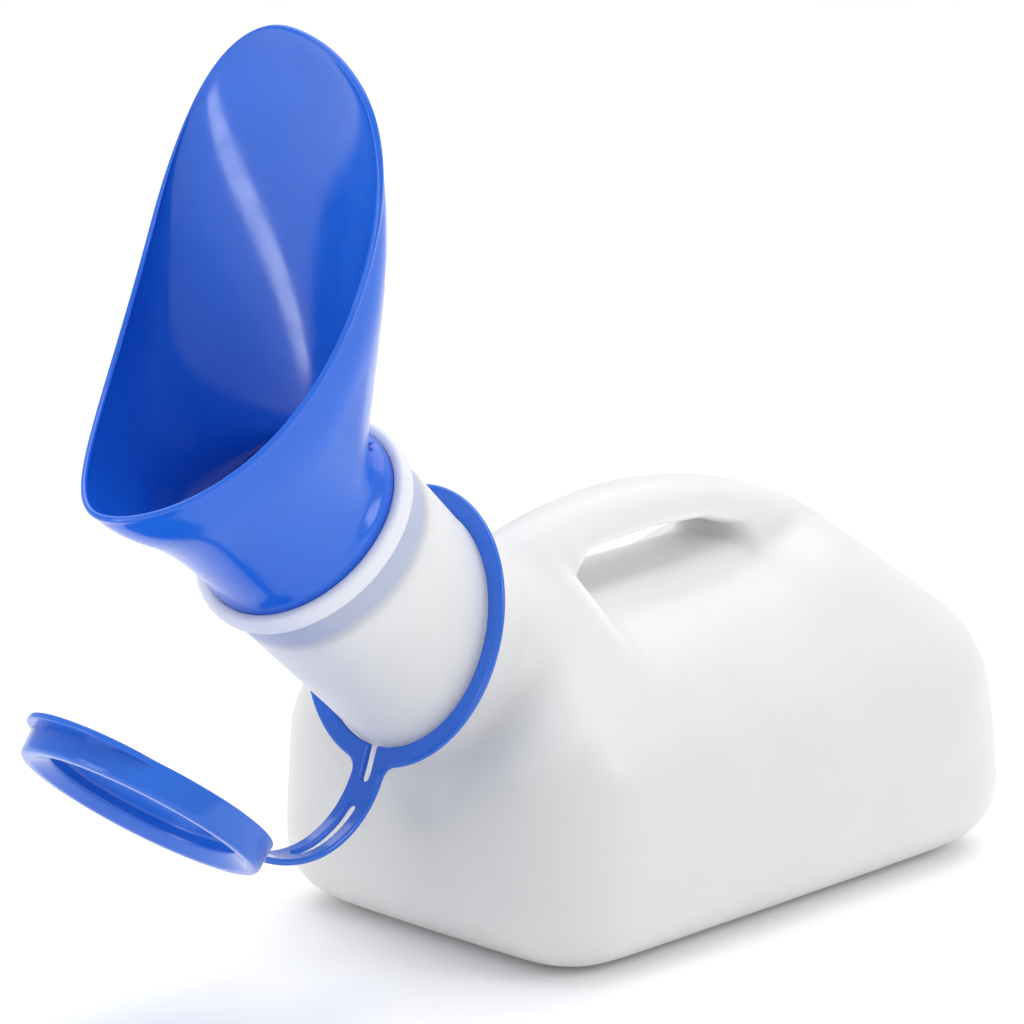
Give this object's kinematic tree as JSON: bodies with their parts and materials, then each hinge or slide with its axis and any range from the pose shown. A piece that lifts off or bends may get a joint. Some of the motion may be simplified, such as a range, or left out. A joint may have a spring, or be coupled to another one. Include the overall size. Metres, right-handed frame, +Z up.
{
  "type": "urine bottle",
  "caption": "Portable urine bottle with a moulded handle, a slanted neck, a plug-in scoop funnel and a push-fit cap that hangs from a strap and a loose neck ring.",
  "frame": {"origin": "centre of the body's flat resting face", "axes": "+Z up, -X towards the neck and the funnel, the plane of symmetry is y = 0"},
  "size_m": [0.3168, 0.125, 0.254],
  "materials": {
    "bottle": "satin, milky translucent",
    "funnel": "gloss, slightly translucent",
    "cap_set": "gloss"
  },
  "bodies": {
    "bottle": {"bottle_body": "bottle"},
    "funnel": {"funnel": "funnel"},
    "ring": {"retaining_ring": "cap_set", "cap_strap": "cap_set"},
    "cap": {"cap": "cap_set"}
  },
  "joints": [
    {"name": "funnel_pull", "type": "slide", "parent": "bottle", "child": "funnel", "axis": [-0.7266, 0, 0.6871], "range_m": [0, 0.025]},
    {"name": "ring_swivel", "type": "hinge", "parent": "bottle", "child": "ring", "pos_m": [-0.098, 0, 0.0906], "axis": [-0.7266, 0, 0.6871], "range_deg": [-75, 75]},
    {"name": "cap_swing", "type": "hinge", "parent": "ring", "child": "cap", "pos_m": [-0.1355, 0, 0.0348], "axis": [0, 1, 0], "range_deg": [-30, 20], "stiffness_Nm_per_rad": 0.2, "deforming": ["cap_strap"]}
  ]
}
